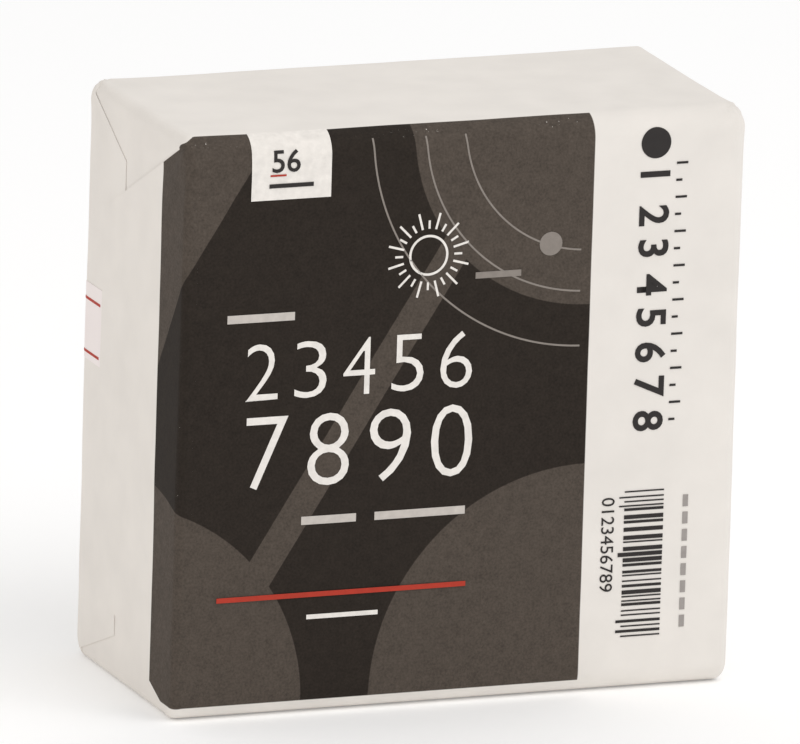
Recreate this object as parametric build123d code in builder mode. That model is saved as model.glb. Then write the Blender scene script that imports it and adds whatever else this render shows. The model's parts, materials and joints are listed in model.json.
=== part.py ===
"""A pressed block of gymnastics chalk in its folded and glued paper wrapper.

Millimetres. The block stands on one narrow side: X runs along the width, the
broad front faces -Y, +Z is up, and the origin is the middle of the footprint.
The paper goes round the block as a sleeve with a lap seam down the back. Past
each end of the block it is creased into four flaps: the top and bottom tucks
lie innermost, the back flap over them, and the front flap outermost.
"""

from build123d import *
from math import radians, tan
import os

# ---- driving dimensions -------------------------------------------------------

width = 63.5  # X, over the outer flaps of both ends
depth = 30.5  # Y, over the paper
height = 63.5  # Z, over the paper
paper = 0.15  # thickness of the wrapping paper
layer_gap = 0.15  # air or glue between one layer of paper and the next
block_gap = 0.15  # air between the chalk and the paper round it

long_edge_radius = 2.5  # of the paper over the block's four long edges
end_edge_radius = 1.0  # of the chalk round its two end faces

lap_edge_height = 22.0  # from the footprint to the free edge of the outer lap
lap_overlap = 12.0  # how far the inner lap runs up beneath the outer one
lap_glue_width = 7.0
lap_glue_margin = 2.5  # bare paper at each end of the glued seam

crease_gap = 0.4  # from a crease's fold line to the flat of its flap
sleeve_end_gap = 0.1  # from the sleeve's cut end to the innermost flap
front_flap_margin = 6.1  # from the front flap's free edge to the back crease
flap_overlap = 6.1  # of the front flap over the back flap
flap_top_slope = 28.0  # degrees, the folded top edge of the front and back flaps
flap_bottom_slope = 22.0  # degrees, the folded bottom edge of the same flaps
tuck_slope = 49.0  # degrees, from a tuck's crease line normal to its trimmed side
tuck_cover = 0.9  # how far a tuck reaches in under the flaps that close over it

end_glue_height = 20.0  # of the glue that holds the front flap to the back flap
end_glue_margin = 0.8  # bare paper beside it
end_glue = 0.1  # its thickness

label_height = 8.4  # of the plain sticker on the left back flap
label_gap = 0.1  # from the front flap's free edge to the sticker
label_top_drop = 22.2  # from the top of the packet to the sticker's top edge
label_margin = 1.0  # from the back crease to the sticker
label = 0.1  # its thickness

# ---- places that follow from them ---------------------------------------------

front, back = -depth / 2, depth / 2  # outer faces of the paper
layer = paper + layer_gap  # from one layer's outer face to the next one's
flap_insets = {"front": 0.0, "back": layer, "tuck": 2 * layer}  # in from the end
end_thickness = flap_insets["tuck"] + paper

front_flap_reach = depth - front_flap_margin
back_flap_reach = front_flap_margin + flap_overlap
tuck_run = depth - back_flap_reach  # from the front crease to the back flap's edge
top_rise = tan(radians(flap_top_slope))
bottom_rise = tan(radians(flap_bottom_slope))
side_taper = tan(radians(tuck_slope))
top_tuck_reach = tuck_run * top_rise + tuck_cover
bottom_tuck_reach = tuck_run * bottom_rise + tuck_cover

sleeve_length = width - 2 * (end_thickness + sleeve_end_gap)


def write(part, name):
    """Label one piece and write it to its own STEP file."""
    part.label = name
    export_step(part, f"parts/{name}.step")


os.makedirs("parts", exist_ok=True)

# ---- chalk block ----------------------------------------------------------------

block_front = front + paper + block_gap
block_back = back - layer - paper - block_gap
block_bottom = paper  # it rests on the paper of the bottom panel
block_top = height - paper - block_gap
block_end = width / 2 - end_thickness - block_gap
block_edge_radius = long_edge_radius - paper

with BuildPart() as chalk_block:
    with BuildSketch(Plane.YZ.offset(-block_end)):
        with Locations(((block_front + block_back) / 2, (block_bottom + block_top) / 2)):
            RectangleRounded(
                block_back - block_front, block_top - block_bottom, block_edge_radius
            )
    extrude(amount=2 * block_end)
    ends = chalk_block.faces().group_by(Axis.X)
    fillet(ends[0].edges() + ends[-1].edges(), radius=end_edge_radius)
write(chalk_block.part, "chalk_block")

# ---- wrapper sleeve: front, top, bottom and lapped back in one strip ------------

half_paper = paper / 2
inner_lap_plane = back - layer - half_paper
path_radius = long_edge_radius - half_paper

with BuildPart() as wrapper_sleeve:
    with BuildSketch(Plane.YZ.offset(-sleeve_length / 2)):
        with BuildLine():
            FilletPolyline(
                (inner_lap_plane, lap_edge_height + lap_overlap),
                (inner_lap_plane, half_paper),
                (front + half_paper, half_paper),
                (front + half_paper, height - half_paper),
                (back - half_paper, height - half_paper),
                (back - half_paper, lap_edge_height),
                radius=path_radius,
            )
        trace(line_width=paper)
    extrude(amount=sleeve_length)
write(wrapper_sleeve.part, "wrapper_sleeve")

# ---- glue in the lap seam, face to face with both layers ------------------------

with BuildPart() as lap_glue_strip:
    with BuildSketch(Plane.XZ.offset(-(back - paper))):
        with Locations((0, lap_edge_height + lap_overlap / 2)):
            Rectangle(sleeve_length - 2 * lap_glue_margin, lap_glue_width)
    extrude(amount=layer_gap)
write(lap_glue_strip.part, "lap_glue_strip")

# ---- end flaps --------------------------------------------------------------------


def wide_flap_outline(crease_y, reach):
    """Corners of a front or back flap, which narrows from its upright crease."""
    inward = 1 if crease_y < 0 else -1
    corners = []
    for distance in (crease_gap, reach):
        y = crease_y + inward * distance
        low, high = distance * bottom_rise, height - distance * top_rise
        corners.append([(y, low), (y, high)])
    return corners[0] + corners[1][::-1]


def tuck_outline(crease_z, reach):
    """Corners of a top or bottom tuck, whose trimmed sides clear the wide flaps."""
    inward = 1 if crease_z == 0 else -1
    corners = []
    for distance in (crease_gap, reach):
        z = crease_z + inward * distance
        half = depth / 2 - distance * side_taper
        corners.append([(-half, z), (half, z)])
    return corners[0] + corners[1][::-1]


def end_flap(outline, inset, side):
    """A flap of paper lying `inset` in from one end; side is -1 left, +1 right."""
    with BuildPart() as flap:
        with BuildSketch(Plane.YZ.offset(side * (width / 2 - inset))):
            with BuildLine():
                Polyline(*outline, close=True)
            make_face()
            with Locations((0, height / 2)):
                RectangleRounded(depth, height, long_edge_radius, mode=Mode.INTERSECT)
        extrude(amount=-side * paper)
    return flap.part


def plate_on_back_flap(side, y_range, z_range, thickness):
    """A thin rectangle stuck on the outer face of one back flap."""
    y_low, y_high = y_range
    z_low, z_high = z_range
    with BuildPart() as plate:
        with BuildSketch(Plane.YZ.offset(side * (width / 2 - flap_insets["back"]))):
            with Locations(((y_low + y_high) / 2, (z_low + z_high) / 2)):
                Rectangle(y_high - y_low, z_high - z_low)
        extrude(amount=side * thickness)
    return plate.part


flap_outlines = {
    "front_flap": (wide_flap_outline(front, front_flap_reach), flap_insets["front"]),
    "back_flap": (wide_flap_outline(back, back_flap_reach), flap_insets["back"]),
    "top_tuck": (tuck_outline(height, top_tuck_reach), flap_insets["tuck"]),
    "bottom_tuck": (tuck_outline(0, bottom_tuck_reach), flap_insets["tuck"]),
}
glue_y = (
    back - back_flap_reach + end_glue_margin,
    back - front_flap_margin - end_glue_margin,
)
glue_z = ((height - end_glue_height) / 2, (height + end_glue_height) / 2)

for end_name, side in (("left", -1), ("right", 1)):
    for flap_name, (outline, inset) in flap_outlines.items():
        write(end_flap(outline, inset, side), f"{end_name}_{flap_name}")
    write(plate_on_back_flap(side, glue_y, glue_z, end_glue), f"{end_name}_end_glue")

# ---- plain sticker on the left back flap, beside the front flap's free edge ------

label_y = (back - front_flap_margin + label_gap, back - label_margin)
label_z = (height - label_top_drop - label_height, height - label_top_drop)
write(plate_on_back_flap(-1, label_y, label_z, label), "side_label")
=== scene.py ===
# %% [markdown]
# # A pressed block of gymnastics chalk in its paper wrapper
#
# The object is a block of magnesium carbonate, about the size of a bar of soap,
# wrapped like a parcel: one sheet of white paper goes round it as a sleeve with a
# lap seam on the back, and each end is closed with four creased flaps. The packed
# CAD model says where everything is; this script makes how it looks.

# %% Load the frame
import json

import bpy
import numpy as np
from mathutils import Matrix, Vector
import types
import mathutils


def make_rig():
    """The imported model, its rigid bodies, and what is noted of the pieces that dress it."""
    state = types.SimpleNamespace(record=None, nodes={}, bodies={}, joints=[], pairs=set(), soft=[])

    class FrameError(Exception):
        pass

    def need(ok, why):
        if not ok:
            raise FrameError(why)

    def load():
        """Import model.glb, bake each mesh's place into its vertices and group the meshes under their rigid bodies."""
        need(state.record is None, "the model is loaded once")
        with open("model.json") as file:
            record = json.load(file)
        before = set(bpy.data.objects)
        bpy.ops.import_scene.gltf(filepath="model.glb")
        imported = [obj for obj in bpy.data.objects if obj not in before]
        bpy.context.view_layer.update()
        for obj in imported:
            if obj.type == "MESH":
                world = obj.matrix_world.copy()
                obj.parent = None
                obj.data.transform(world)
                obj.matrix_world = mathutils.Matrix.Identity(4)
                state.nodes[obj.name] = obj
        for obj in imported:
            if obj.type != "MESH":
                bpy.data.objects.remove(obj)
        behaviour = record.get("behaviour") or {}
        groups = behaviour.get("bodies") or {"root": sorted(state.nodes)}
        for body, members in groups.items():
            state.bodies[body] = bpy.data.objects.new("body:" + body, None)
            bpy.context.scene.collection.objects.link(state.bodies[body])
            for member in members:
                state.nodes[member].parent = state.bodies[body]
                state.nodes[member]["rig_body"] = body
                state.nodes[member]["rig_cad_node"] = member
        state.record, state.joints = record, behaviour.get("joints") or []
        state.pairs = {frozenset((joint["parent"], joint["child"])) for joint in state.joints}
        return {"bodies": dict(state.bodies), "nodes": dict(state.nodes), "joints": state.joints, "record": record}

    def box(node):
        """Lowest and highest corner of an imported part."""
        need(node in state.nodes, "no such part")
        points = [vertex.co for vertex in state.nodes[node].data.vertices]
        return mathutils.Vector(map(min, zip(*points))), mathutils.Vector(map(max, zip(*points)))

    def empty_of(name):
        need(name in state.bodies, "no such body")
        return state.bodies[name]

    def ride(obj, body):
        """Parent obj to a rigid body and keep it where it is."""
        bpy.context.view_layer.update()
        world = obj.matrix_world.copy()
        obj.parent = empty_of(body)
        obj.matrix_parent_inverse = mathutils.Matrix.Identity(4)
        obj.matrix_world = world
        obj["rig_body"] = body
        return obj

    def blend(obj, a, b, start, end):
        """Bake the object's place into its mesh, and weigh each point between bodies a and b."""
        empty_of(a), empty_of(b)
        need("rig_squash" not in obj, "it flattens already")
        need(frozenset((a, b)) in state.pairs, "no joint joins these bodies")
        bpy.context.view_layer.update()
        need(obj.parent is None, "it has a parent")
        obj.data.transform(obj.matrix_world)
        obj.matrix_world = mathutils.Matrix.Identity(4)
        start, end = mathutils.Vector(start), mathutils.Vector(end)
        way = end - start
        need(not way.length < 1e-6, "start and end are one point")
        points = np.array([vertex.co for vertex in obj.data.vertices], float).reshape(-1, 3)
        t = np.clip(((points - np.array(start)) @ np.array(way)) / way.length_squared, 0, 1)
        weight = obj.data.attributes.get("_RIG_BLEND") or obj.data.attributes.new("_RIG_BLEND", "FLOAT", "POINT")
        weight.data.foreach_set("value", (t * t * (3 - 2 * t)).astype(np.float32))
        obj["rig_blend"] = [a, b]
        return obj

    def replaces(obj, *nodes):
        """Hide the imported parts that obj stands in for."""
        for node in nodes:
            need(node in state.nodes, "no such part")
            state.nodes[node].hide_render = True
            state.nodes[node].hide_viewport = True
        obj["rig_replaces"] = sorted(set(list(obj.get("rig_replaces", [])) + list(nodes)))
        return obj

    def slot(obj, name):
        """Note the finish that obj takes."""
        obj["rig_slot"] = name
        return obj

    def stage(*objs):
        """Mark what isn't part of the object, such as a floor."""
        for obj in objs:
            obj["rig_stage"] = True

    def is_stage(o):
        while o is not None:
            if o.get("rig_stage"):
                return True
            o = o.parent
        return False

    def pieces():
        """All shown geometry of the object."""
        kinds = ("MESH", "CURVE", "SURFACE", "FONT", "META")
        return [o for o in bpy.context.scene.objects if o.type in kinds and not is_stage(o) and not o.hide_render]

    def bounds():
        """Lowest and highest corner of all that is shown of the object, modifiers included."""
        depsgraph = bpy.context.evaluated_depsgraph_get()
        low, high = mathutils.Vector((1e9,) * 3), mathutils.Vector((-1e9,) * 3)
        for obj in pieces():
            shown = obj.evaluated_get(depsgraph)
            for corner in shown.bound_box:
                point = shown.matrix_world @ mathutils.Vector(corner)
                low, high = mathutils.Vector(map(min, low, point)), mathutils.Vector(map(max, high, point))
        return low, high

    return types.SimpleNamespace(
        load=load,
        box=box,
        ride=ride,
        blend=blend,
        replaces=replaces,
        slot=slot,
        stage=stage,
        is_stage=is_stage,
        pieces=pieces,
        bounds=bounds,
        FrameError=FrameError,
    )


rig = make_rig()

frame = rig.load()
cad_low, cad_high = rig.bounds()
print("CAD box:", [round(v, 4) for v in (*cad_low, *cad_high)])

# %% [markdown]
# ## Sizes
#
# The outside sizes come from the frame. What only the eye needs, such as how soft
# each fold is, is named here. The sheet of paper has two coordinates of its own,
# in metres: `across` runs to the right from the front's left edge, and `down` from
# the front's top edge, both measured along the paper round the folds. The print is
# laid out in them, so it carries on round an edge as real print does.

# %% Sizes shared by every piece
MM = 0.001
half_width = cad_high.x
half_depth = cad_high.y
height = cad_high.z

sheet_thickness = 0.07 * MM
layer_step = 0.09 * MM  # from the face of one layer of paper to the next one's
long_radius = 2.5 * MM  # of the paper over the four long edges
front_fold = 1.0 * MM  # softness of each end fold: radius from panel to end face
back_fold = 1.5 * MM
tuck_fold = 1.4 * MM
base_fold = 1.1 * MM
fold_lead = 0.5 * MM  # flat strip of a flap's paper before its fold begins
grid_step = 0.7 * MM  # about the size of one face of the paper's mesh

quarter = np.pi / 2
print("outer size in mm:", [round(2000 * v, 1) for v in (half_width, half_depth)], height / MM)


# %% [markdown]
# ## From arrays to meshes
#
# Every new piece is a surface on a grid: row by row, an array of points. These
# helpers turn such arrays into a mesh with its sheet coordinates stored as a UV
# map. Modelling by hand would do as well, but arrays keep each surface exact and
# let neighbouring pieces share one formula.

# %% Grids and pieces
def grid_quads(rows, cols, flip=False):
    """Indices of the four corners of each cell of a grid, one way round or the other."""
    index = np.arange(rows * cols).reshape(rows, cols)
    quads = np.stack(
        [index[:-1, :-1], index[:-1, 1:], index[1:, 1:], index[1:, :-1]], axis=-1
    ).reshape(-1, 4)
    return quads[:, ::-1] if flip else quads


def mesh_piece(name, points, faces, sheet=None, smooth=True):
    """An object at the origin from an (n, 3) array, a face list and sheet coordinates.

    Edges with one face are marked sharp, so that a thickened sheet's cut edge
    doesn't bend the shading of its face.
    """
    mesh = bpy.data.meshes.new(name)
    faces = faces.tolist() if isinstance(faces, np.ndarray) else faces
    mesh.from_pydata(np.asarray(points).reshape(-1, 3).tolist(), [], faces)
    if sheet is not None:
        corner = np.zeros(len(mesh.loops), np.int32)
        mesh.loops.foreach_get("vertex_index", corner)
        layer = mesh.uv_layers.new(name="sheet")
        layer.data.foreach_set("uv", np.asarray(sheet).reshape(-1, 2)[corner].ravel())
    mesh.polygons.foreach_set("use_smooth", [smooth] * len(mesh.polygons))
    mesh.update()
    edge_of_corner = np.zeros(len(mesh.loops), np.int32)
    mesh.loops.foreach_get("edge_index", edge_of_corner)
    border = np.bincount(edge_of_corner, minlength=len(mesh.edges)) == 1
    sharp = mesh.attributes.new("sharp_edge", "BOOLEAN", "EDGE")
    sharp.data.foreach_set("value", border)
    piece = bpy.data.objects.new(name, mesh)
    bpy.context.scene.collection.objects.link(piece)
    return piece


# %% [markdown]
# A sheet of paper never lies perfectly flat. Its unevenness is a sum of a few plane
# waves in random directions: smooth, repeatable, and the same for two pieces that
# meet, which a noise stored on each mesh wouldn't be.

# %% Smooth unevenness
def waves(points, wavelength, seed, count=7):
    """Smooth unevenness from -1 to 1: the mean of sines along random directions."""
    rng = np.random.default_rng(seed)
    total = np.zeros(np.shape(points)[:-1])
    for _ in range(count):
        direction = rng.normal(size=3)
        direction /= np.linalg.norm(direction)
        length = wavelength * rng.uniform(0.7, 1.6)
        phase = rng.uniform(0, 2 * np.pi)
        total += np.sin(2 * np.pi * (points @ direction) / length + phase)
    return total / count


def ease(value, low, high):
    """0 below low, 1 above high and a smooth S-curve between them."""
    t = np.clip((value - low) / (high - low), 0, 1)
    return t * t * (3 - 2 * t)


print("ease at a quarter of the way:", round(float(ease(0.25, 0, 1)), 3))

# %% [markdown]
# ## How the paper lies
#
# The paper is drawn tight over a hard block, so it is nearly flat: it swells by
# a few hundredths of a millimetre in long soft waves, and pinches in fine rays and
# a groove where the sheet is gathered at the top corners. All of that is one
# function of place, used by every panel and flap, so neighbours meet.

# %% Relief of the paper
wave_height = 0.07 * MM
long_wave, short_wave, short_share = 17 * MM, 6 * MM, 0.35
pinch_height = 0.16 * MM
pinch_reach = 5.5 * MM
pinch_rays = 11
pinch_skew, pinch_shift = 0.6, 1.3  # so that rays cross the end face too, and corners differ
pinch_start, pinch_full = 0.4 * MM, 2.5 * MM  # from the corner
groove_depth = 0.3 * MM
groove_width = 0.45 * MM
groove_reach = 4 * MM
groove_drop, groove_lean = 1.0 * MM, 0.16  # below the top, and more with each step in
groove_start, groove_full = 1.0 * MM, 2.6 * MM  # from the end
side_start, side_full = 2.2 * MM, 1.0 * MM  # in from the front or the back
foot_flat, foot_full = 1.5 * MM, 7 * MM  # heights between which the relief comes in
corner_points = [
    np.array([side_x * half_width, side_y * half_depth, height])
    for side_x in (-1, 1)
    for side_y in (-1, 1)
]


def relief(points):
    """How far the paper stands proud of its flat place, in metres.

    Long waves, plus at each top corner a fan of ridges: a cosine of the angle
    round the corner, fading with distance, and along the upper long edges a
    groove that starts at the corner and sinks away from the edge as it fades.
    All of it fades out above the footprint.
    """
    lift = wave_height * waves(points, long_wave, seed=4)
    lift += short_share * wave_height * waves(points, short_wave, seed=9)
    for number, corner in enumerate(corner_points):
        away = points - corner
        distance = np.linalg.norm(away, axis=-1)
        turn = np.arctan2(away[..., 2], away[..., 0] + pinch_skew * away[..., 1])
        fan = np.cos(pinch_rays * turn + pinch_shift * number)
        fade = np.exp(-distance / pinch_reach) * ease(distance, pinch_start, pinch_full)
        lift += pinch_height * fan * fade
    from_end = half_width - np.abs(points[..., 0])
    groove_z = height - groove_drop - groove_lean * from_end
    across_groove = (points[..., 2] - groove_z) / groove_width
    on_face = ease(np.abs(points[..., 1]), half_depth - side_start, half_depth - side_full)
    groove = np.exp(-across_groove**2) * np.exp(-np.maximum(from_end, 0) / groove_reach)
    lift -= groove_depth * groove * on_face * ease(from_end, groove_start, groove_full)
    return lift * ease(points[..., 2], foot_flat, foot_full)


panel_middle = np.array([[0.0, -half_depth, height / 2]])
print("relief in the middle of the front, in mm:", (relief(panel_middle) / MM).round(3))


# %% [markdown]
# ## The closed skin
#
# Cut across, the packet is a rectangle with rounded corners. A point on that
# outline and the direction out of it give the whole skin: the sleeve carries the
# outline along the width, and at each end the skin rolls over a small fold to the
# end face. The outline is walked as straight runs and quarter circles.

# %% The outline as runs and arcs
def outline_run(start, end, outward):
    """Points, outward directions and lengths of one straight run of the outline."""
    start, end = np.array(start), np.array(end)
    length = np.linalg.norm(end - start)
    t = np.linspace(0, 1, max(2, int(length / grid_step) + 1))[:, None]
    return start + t * (end - start), np.repeat([outward], len(t), 0), t[:, 0] * length


def outline_arc(centre, first_angle, sweep, radius=long_radius, steps=12):
    """The same for an arc: centre plus radius times (cosine, sine) of the angle."""
    angle = first_angle + np.linspace(0, 1, steps + 1) * sweep
    outward = np.stack([np.cos(angle), np.sin(angle)], axis=1)
    return np.array(centre) + radius * outward, outward, np.abs(angle - angle[0]) * radius


def join(stretches, down_start):
    """Stretches end to end, with the sheet's `down` coordinate counted along them."""
    places, outwards, downs, reached = [], [], [], down_start
    for place, outward, length in stretches:
        keep = slice(0 if not places else 1, None)
        places.append(place[keep])
        outwards.append(outward[keep])
        downs.append(reached + length[keep])
        reached += length[-1]
    return np.concatenate(places), np.concatenate(outwards), np.concatenate(downs)


front_y, back_y = -half_depth, half_depth
low_z, high_z = long_radius, height - long_radius
front_c, back_c = front_y + long_radius, back_y - long_radius
arc_length = quarter * long_radius

lap_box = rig.box("lap_glue_strip")
lap_middle = (lap_box[0].z + lap_box[1].z) / 2
lap_half = 6 * MM  # half of the overlap of the two laps
print("lap seam, middle height in mm:", round(lap_middle / MM, 1))

# %% [markdown]
# ## The sleeve
#
# One strip: it starts at the outer lap's free edge on the back, goes up, over the
# top, down the front, under the bottom and up the back again, where the end of it
# lies beneath its own start. A Solidify modifier gives the paper its thickness.

# %% Walk the sleeve's outline
inner_y = back_y - layer_step
outer_end = lap_middle - lap_half
lap_dip = 4 * MM  # run over which the inner lap goes down under the outer one
dip_start = outer_end - lap_dip
sleeve_place, sleeve_out, sleeve_down = join(
    [
        outline_run((back_y, outer_end), (back_y, high_z), (1, 0)),
        outline_arc((back_c, high_z), 0, quarter),
        outline_run((back_c, height), (front_c, height), (0, 1)),
        outline_arc((front_c, high_z), quarter, quarter),
        outline_run((front_y, high_z), (front_y, low_z), (-1, 0)),
        outline_arc((front_c, low_z), 2 * quarter, quarter),
        outline_run((front_c, 0), (back_c, 0), (0, -1)),
        outline_arc((back_c, low_z), 3 * quarter, quarter),
        outline_run((back_y, low_z), (back_y, dip_start), (1, 0)),
        outline_run((back_y, dip_start), (inner_y, outer_end), (1, 0)),
        outline_run((inner_y, outer_end), (inner_y, lap_middle + lap_half), (1, 0)),
    ],
    0.0,
)
front_start = int(np.argmin(np.abs(sleeve_place[:, 0] - front_y) + np.abs(sleeve_place[:, 1] - high_z)))
sleeve_down += long_radius - sleeve_down[front_start]
sleeve_length = sleeve_down[-1] - sleeve_down[0]
print("paper once round, in mm:", round(sleeve_length / MM, 1))


def fold_radius(place, outward):
    """How soft the end fold is at each point of the outline.

    Each of the four sides has its own radius, mixed over the corner arcs by the
    square of the outward direction's part along that side.
    """
    y, z = outward[..., 0], outward[..., 1]
    sideways = np.where(y < 0, front_fold, back_fold)
    upright = np.where(z > 0, tuck_fold, base_fold)
    return y * y * sideways + z * z * upright


def skin(place, outward, x):
    """Outline points carried to x, moved outwards by the paper's relief."""
    flat = np.concatenate([x[..., None], np.broadcast_to(place, x.shape + (2,))], axis=-1)
    direction = np.concatenate(
        [np.zeros(x.shape + (1,)), np.broadcast_to(outward, x.shape + (2,))], axis=-1
    )
    return flat + direction * relief(flat)[..., None]


every_radius = fold_radius(sleeve_place, sleeve_out) / MM
print(f"fold radii from {every_radius.min():.1f} to {every_radius.max():.1f} mm")


# %% Build the sleeve
sleeve_reach = half_width - fold_radius(sleeve_place, sleeve_out) - fold_lead
columns = int(2 * half_width / grid_step)
share = np.linspace(-1, 1, columns)
sleeve_x = sleeve_reach[:, None] * share
sleeve_points = skin(sleeve_place[:, None], sleeve_out[:, None], sleeve_x)
sleeve_sheet = np.stack(
    [sleeve_x + half_width, np.broadcast_to(sleeve_down[:, None], sleeve_x.shape)], axis=-1
)
sleeve = mesh_piece(
    "paper_sleeve", sleeve_points, grid_quads(len(sleeve_place), columns, flip=True), sleeve_sheet
)


def thicken(piece, thickness=sheet_thickness):
    """Paper with two faces and an edge: the mesh is its outer face.

    The inner face and the edge take the piece's second material, where it has one.
    """
    solid = piece.modifiers.new("thickness", "SOLIDIFY")
    solid.thickness = thickness
    solid.offset = -1
    solid.material_offset = 1
    solid.material_offset_rim = 1
    return piece


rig.ride(thicken(sleeve), "packet")
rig.replaces(sleeve, "wrapper_sleeve")
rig.slot(sleeve, "wrapping_paper")
print("sleeve faces:", len(sleeve.data.polygons))

# %% [markdown]
# ## The end flaps
#
# A flap starts at the sleeve's cut line, rolls over the fold and runs flat to its
# free edge. Across the flap there are two stretches of rows: a quarter of an
# ellipse for the fold, then straight lines from the folded outline to the free
# edge. The wide front and back flaps take in the rounded corners of the outline,
# so their sloping edges start at the packet's corners; the tucks lie under them.

# %% Rows of a flap
fold_rows = 12
field_top = -0.9 * MM  # where the print begins, just over the top edge
cut_steepness = 6.0  # how fast the print's limit falls behind the sloping line


def flap_rows(side, base, tip, inset):
    """Places of one flap's rows before any relief, and how far each has turned.

    base is (place, outward, down) along the outline, and tip gives the place of
    each base point on the free edge. First comes a strip that lies on the panel.
    Fold rows: inwards r (1 - cos a) and out along X by (r - inset) sin a. Flat
    rows: a straight mix of folded base and tip.
    """
    place, outward, _ = base
    radius = fold_radius(place, outward)
    angle = np.linspace(0, quarter, fold_rows + 1)[:, None]
    inwards = radius * (1 - np.cos(angle))
    fold_place = place - outward * inwards[..., None]
    fold_x = half_width - radius + (radius - inset) * np.sin(angle)
    reach = np.abs(tip - fold_place[-1]).max()
    mix = np.linspace(0, 1, max(3, int(reach / grid_step)))[1:, None]
    flat_place = (1 - mix[..., None]) * fold_place[-1] + mix[..., None] * tip
    flat_x = np.broadcast_to(half_width - inset, flat_place.shape[:2])
    all_place = np.concatenate([place[None], fold_place, flat_place])
    all_x = np.concatenate([fold_x[:1] - fold_lead, fold_x, flat_x])
    strip_turn, flat_turn = np.zeros(fold_x[:1].shape), np.full(flat_x.shape, quarter)
    turn = np.concatenate([strip_turn, np.broadcast_to(angle, fold_x.shape), flat_turn])
    return np.concatenate([side * all_x[..., None], all_place], axis=-1), turn


# %% [markdown]
# The sheet's coordinates have to run on over the fold without a jump, or the print
# would break there. Both are counted along the paper: over the fold they change
# evenly with the angle, from the sleeve's values to the flat flap's.

# %% The print's coordinates on a flap
def flap_sheet(side, base, tip, flat, turn):
    """Sheet coordinates (across, down) of one flap's rows.

    A square corner would be 2 r of paper where the fold is r times a quarter turn,
    so the flat rows count from 2 r less that. The print's upper limit turns down
    with the fold, to the line from the packet's corner to the tip.
    """
    place, outward, down = base
    radius = fold_radius(place, outward)
    first_flat = fold_rows + 2  # after the strip and the fold's own rows
    angle = turn[1:first_flat]
    fold_end, flat_place = flat[first_flat - 1, :, 1:], flat[first_flat:, :, 1:]
    folded = angle / quarter
    axis = 0 if abs(outward[len(outward) // 2, 0]) > 0.5 else 1
    crease = place[len(place) // 2, axis]
    rolled = radius[len(radius) // 2] * (2 - quarter)
    end_along = rolled - np.abs(fold_end[:, axis] - crease)
    end_down = height - fold_end[:, 1]
    strip_along = radius[None] + fold_lead
    fold_along = radius * (1 - angle) + folded * (end_along - radius * (1 - quarter))
    flat_along = rolled - np.abs(flat_place[..., axis] - crease)
    along = np.concatenate([strip_along, fold_along, flat_along])
    across = along if side < 0 else 2 * half_width - along
    fold_down = down + folded * (end_down - down)
    all_down = np.concatenate([down[None], fold_down, height - flat_place[..., 1]])
    drop, from_front = height - flat[..., 2], flat[..., 1] - front_y
    slope = (height - tip[:, 1].max()) / (np.abs(tip[:, 0] - front_y).max())
    cut = field_top + cut_steepness * (drop - slope * from_front * turn / quarter)
    return np.stack([across, np.minimum(all_down, cut)], axis=-1)


def flap_grid(side, base, tip, inset):
    """Points and sheet coordinates of one flap.

    The direction out of the paper turns with the fold, from the outline's own to X,
    and the relief lifts each point along it.
    """
    flat, turn = flap_rows(side, base, tip, inset)
    sideways = side * np.sin(turn)[..., None]
    direction = np.concatenate([sideways, base[1][None] * np.cos(turn)[..., None]], axis=-1)
    points = flat + direction * relief(flat)[..., None]
    return points, flap_sheet(side, base, tip, flat, turn)


# %% [markdown]
# Where a flap begins and ends is known already: it begins along one side of the
# outline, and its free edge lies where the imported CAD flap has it. Reading that
# edge from the CAD mesh keeps look and motion together if a size changes.

# %% Where a flap begins and ends
edge_tolerance = 0.05 * MM


def outline_side(which):
    """The stretch of outline that a flap starts from, with its `down` coordinate."""
    if which == "front_flap":
        parts = [
            outline_arc((front_c, high_z), quarter, quarter),
            outline_run((front_y, high_z), (front_y, low_z), (-1, 0)),
            outline_arc((front_c, low_z), 2 * quarter, quarter),
        ]
        return join(parts, long_radius - arc_length)
    if which == "back_flap":
        parts = [
            outline_arc((back_c, low_z), 3 * quarter, quarter),
            outline_run((back_y, low_z), (back_y, high_z), (1, 0)),
            outline_arc((back_c, high_z), 0, quarter),
        ]
        return join(parts, 0.0)
    if which == "top_tuck":
        return join([outline_run((back_c, height), (front_c, height), (0, 1))], 0.0)
    return join([outline_run((front_c, 0), (back_c, 0), (0, -1))], 0.0)


def free_edge(node, base_place, along_z):
    """Tip points on a flap's free edge, spread as the base points are.

    The edge lies at the far side of the CAD flap from its crease, between the
    ends that the CAD outline has there.
    """
    mesh = frame["nodes"][node].data
    corners = np.array([v.co for v in mesh.vertices])[:, 1:]
    axis = 0 if along_z else 1
    crease_low = base_place[:, axis].mean() < (0 if along_z else height / 2)
    edge = corners[:, axis].max() if crease_low else corners[:, axis].min()
    other = corners[np.abs(corners[:, axis] - edge) < edge_tolerance][:, 1 - axis]
    run = base_place[:, 1 - axis]
    t = (run - run.min()) / (run.max() - run.min())
    tip = np.empty_like(base_place)
    tip[:, axis] = edge
    tip[:, 1 - axis] = other.min() + t * (other.max() - other.min())
    return tip


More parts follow.
